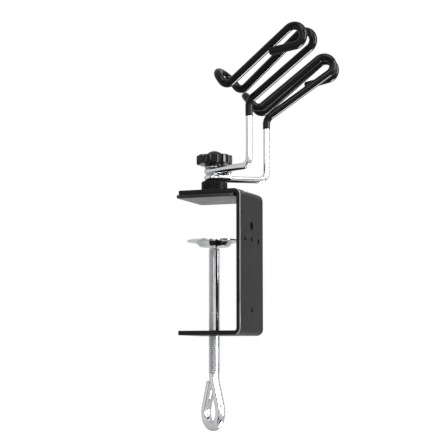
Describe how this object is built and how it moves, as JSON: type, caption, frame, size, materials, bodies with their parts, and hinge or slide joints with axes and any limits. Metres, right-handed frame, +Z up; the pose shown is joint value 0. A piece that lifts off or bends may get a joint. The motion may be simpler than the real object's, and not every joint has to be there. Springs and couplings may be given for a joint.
{
  "type": "clamp-on twin airbrush holder",
  "caption": "Bench-clamp airbrush holder: black bent-steel C clamp with swivel pad and teardrop handle, and chrome wire arms with black sleeved cradles on a knobbed post.",
  "frame": {"origin": "centre of the upper clamping face (underside of the jaw pad), on the common axis of the post and the clamp screw", "axes": "+Z up along the post; +X from the open jaw towards the bracket's web; +Y along the web, from the upper arm's side to the lower arm's side"},
  "size_m": [0.1019, 0.1087, 0.2672],
  "materials": {
    "black_powder_coat": "satin black powder coat",
    "black_rubber": "smooth, slightly glossy black rubber",
    "black_satin": "satin black oxide",
    "zinc_steel": "bright zinc plate",
    "chrome": "bright nickel-chrome plate",
    "black_soft_pvc": "glossy dipped soft PVC",
    "black_knob": "semi-gloss moulded phenolic",
    "black_cap": "gloss moulded plastic"
  },
  "bodies": {
    "frame": {"clamp_bracket": "black_powder_coat", "jaw_pad": "black_rubber", "post_boss": "black_satin", "post_stud": "zinc_steel"},
    "lower_arm": {"lower_arm_wire": "chrome", "lower_arm_sleeve": "black_soft_pvc"},
    "upper_arm": {"upper_arm_wire": "chrome", "upper_arm_sleeve": "black_soft_pvc"},
    "knob_washer": {"knob_washer": "zinc_steel"},
    "knob": {"knob": "black_knob", "knob_nut": "zinc_steel", "knob_cap": "black_cap"},
    "screw_carriage": {"retaining_washer": "zinc_steel"},
    "clamp_screw": {"clamp_screw": "chrome"},
    "swivel_pad": {"swivel_pad": "chrome"}
  },
  "joints": [
    {"name": "lower_arm_swivel", "type": "hinge", "parent": "frame", "child": "lower_arm", "pos_m": [0, 0, 0.0158], "axis": [0, 0, 1], "continuous": true},
    {"name": "upper_arm_swivel", "type": "hinge", "parent": "lower_arm", "child": "upper_arm", "pos_m": [0, 0, 0.02035], "axis": [0, 0, 1], "range_deg": [-209, 38]},
    {"name": "knob_lift", "type": "slide", "parent": "frame", "child": "knob_washer", "axis": [0, 0, 1], "range_m": [0, 0.004]},
    {"name": "knob_turn", "type": "hinge", "parent": "knob_washer", "child": "knob", "pos_m": [0, 0, 0.0235], "axis": [0, 0, 1], "range_deg": [0, 1800]},
    {"name": "clamp_travel", "type": "slide", "parent": "frame", "child": "screw_carriage", "axis": [0, 0, 1], "range_m": [-0.055, 0.0255]},
    {"name": "screw_turn", "type": "hinge", "parent": "screw_carriage", "child": "clamp_screw", "pos_m": [0, 0, -0.06], "axis": [0, 0, 1], "range_deg": [-15850, 7350]},
    {"name": "pad_tilt", "type": "hinge", "parent": "screw_carriage", "child": "swivel_pad", "pos_m": [0, 0, -0.0314], "axis": [0, 1, 0], "range_deg": [-5, 5]}
  ],
  "couplings": [
    {"joint": "knob_turn", "follows": "knob_lift", "rad_per_m": 7854},
    {"joint": "screw_turn", "follows": "clamp_travel", "rad_per_m": 5026.5}
  ]
}
